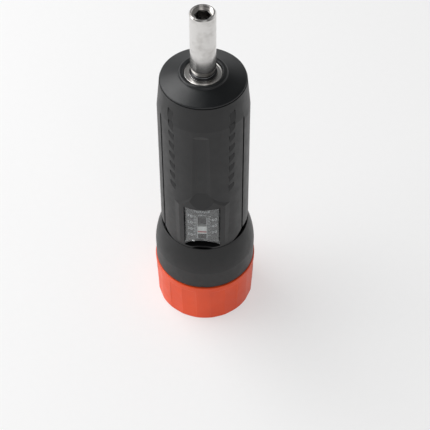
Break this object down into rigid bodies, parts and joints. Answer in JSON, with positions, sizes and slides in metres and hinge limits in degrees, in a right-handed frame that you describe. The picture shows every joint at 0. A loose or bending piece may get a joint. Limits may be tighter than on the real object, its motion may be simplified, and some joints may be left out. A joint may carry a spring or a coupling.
{
  "type": "torque screwdriver",
  "caption": "Adjustable torque screwdriver with a sprung face-cam clutch: orange setting knob, shouldered collar, black handle with a scale window, and a hexagon bit holder.",
  "frame": {"origin": "centre of the setting knob's foot, on the surface the tool stands on", "axes": "+Z along the tool's axis, from the knob towards the bit holder; the scale window faces -Y"},
  "size_m": [0.0514, 0.0514, 0.1875],
  "materials": {
    "orange_plastic": "satin moulded, vivid orange",
    "black_plastic": "fine grained black",
    "nut_plastic": "dark moulded",
    "collar_plastic": "semi gloss black",
    "nose_plastic": "semi gloss blue-black",
    "label_plate": "printed dark grey",
    "clear_lens": "clear polycarbonate",
    "white_plastic": "white",
    "red_line": "red",
    "acetal": "natural acetal",
    "rubber_ring": "black",
    "bronze": "sintered bronze",
    "steel": "ground steel",
    "spring_steel": "blued spring steel",
    "zinc_steel": "zinc plated",
    "bearing_steel": "polished",
    "stainless": "bright turned stainless",
    "magnet": "nickel plated magnet"
  },
  "bodies": {
    "handle": {"handle": "black_plastic", "collar": "collar_plastic", "collar_screws": "zinc_steel", "screw_bush": "bronze", "thrust_washer": "acetal", "nose_cap": "nose_plastic", "bearing_outer_race": "bearing_steel", "bearing_shield": "bearing_steel", "spindle_bush": "bronze", "window_lens": "clear_lens", "scale_plate": "label_plate", "main_spring": "spring_steel"},
    "knob": {"knob": "orange_plastic", "knob_cap": "black_plastic", "knob_screw": "zinc_steel", "knob_washer": "zinc_steel", "friction_ring": "rubber_ring", "adjusting_screw": "steel"},
    "setting_nut": {"adjusting_nut": "nut_plastic", "indicator_block": "white_plastic", "indicator_line": "red_line", "lower_spring_seat": "zinc_steel"},
    "clutch": {"clutch_cam": "steel", "upper_spring_seat": "zinc_steel"},
    "spindle": {"output_spindle": "steel", "bearing_spacer": "steel", "bearing_inner_race": "bearing_steel", "spindle_circlip": "spring_steel", "bit_holder": "stainless", "holder_magnet": "magnet", "bit_retaining_ring": "spring_steel"},
    "ball_cage": {"bearing_balls": "bearing_steel", "bearing_cage": "bronze"}
  },
  "joints": [
    {"name": "knob_turn", "type": "hinge", "parent": "handle", "child": "knob", "pos_m": [0, 0, 0], "axis": [0, 0, 1], "range_deg": [-197, 1494]},
    {"name": "nut_travel", "type": "slide", "parent": "handle", "child": "setting_nut", "axis": [0, 0, 1], "range_m": [-0.00165, 0.01246], "deforming": ["main_spring"]},
    {"name": "spindle_click", "type": "hinge", "parent": "handle", "child": "spindle", "pos_m": [0, 0, 0.15], "axis": [0, 0, -1], "range_deg": [0, 50]},
    {"name": "clutch_lift", "type": "slide", "parent": "handle", "child": "clutch", "axis": [0, 0, -1], "range_m": [0, 0.002], "stiffness_N_per_m": 17770, "springref_m": -0.004, "deforming": ["main_spring"]},
    {"name": "cage_turn", "type": "hinge", "parent": "handle", "child": "ball_cage", "pos_m": [0, 0, 0.1503], "axis": [0, 0, -1], "range_deg": [0, 22]}
  ],
  "couplings": [
    {"joint": "nut_travel", "follows": "knob_turn", "m_per_rad": 0.00047746},
    {"joint": "spindle_click", "follows": "clutch_lift", "rad_per_m": 436.3},
    {"joint": "cage_turn", "follows": "clutch_lift", "rad_per_m": 185.4}
  ]
}
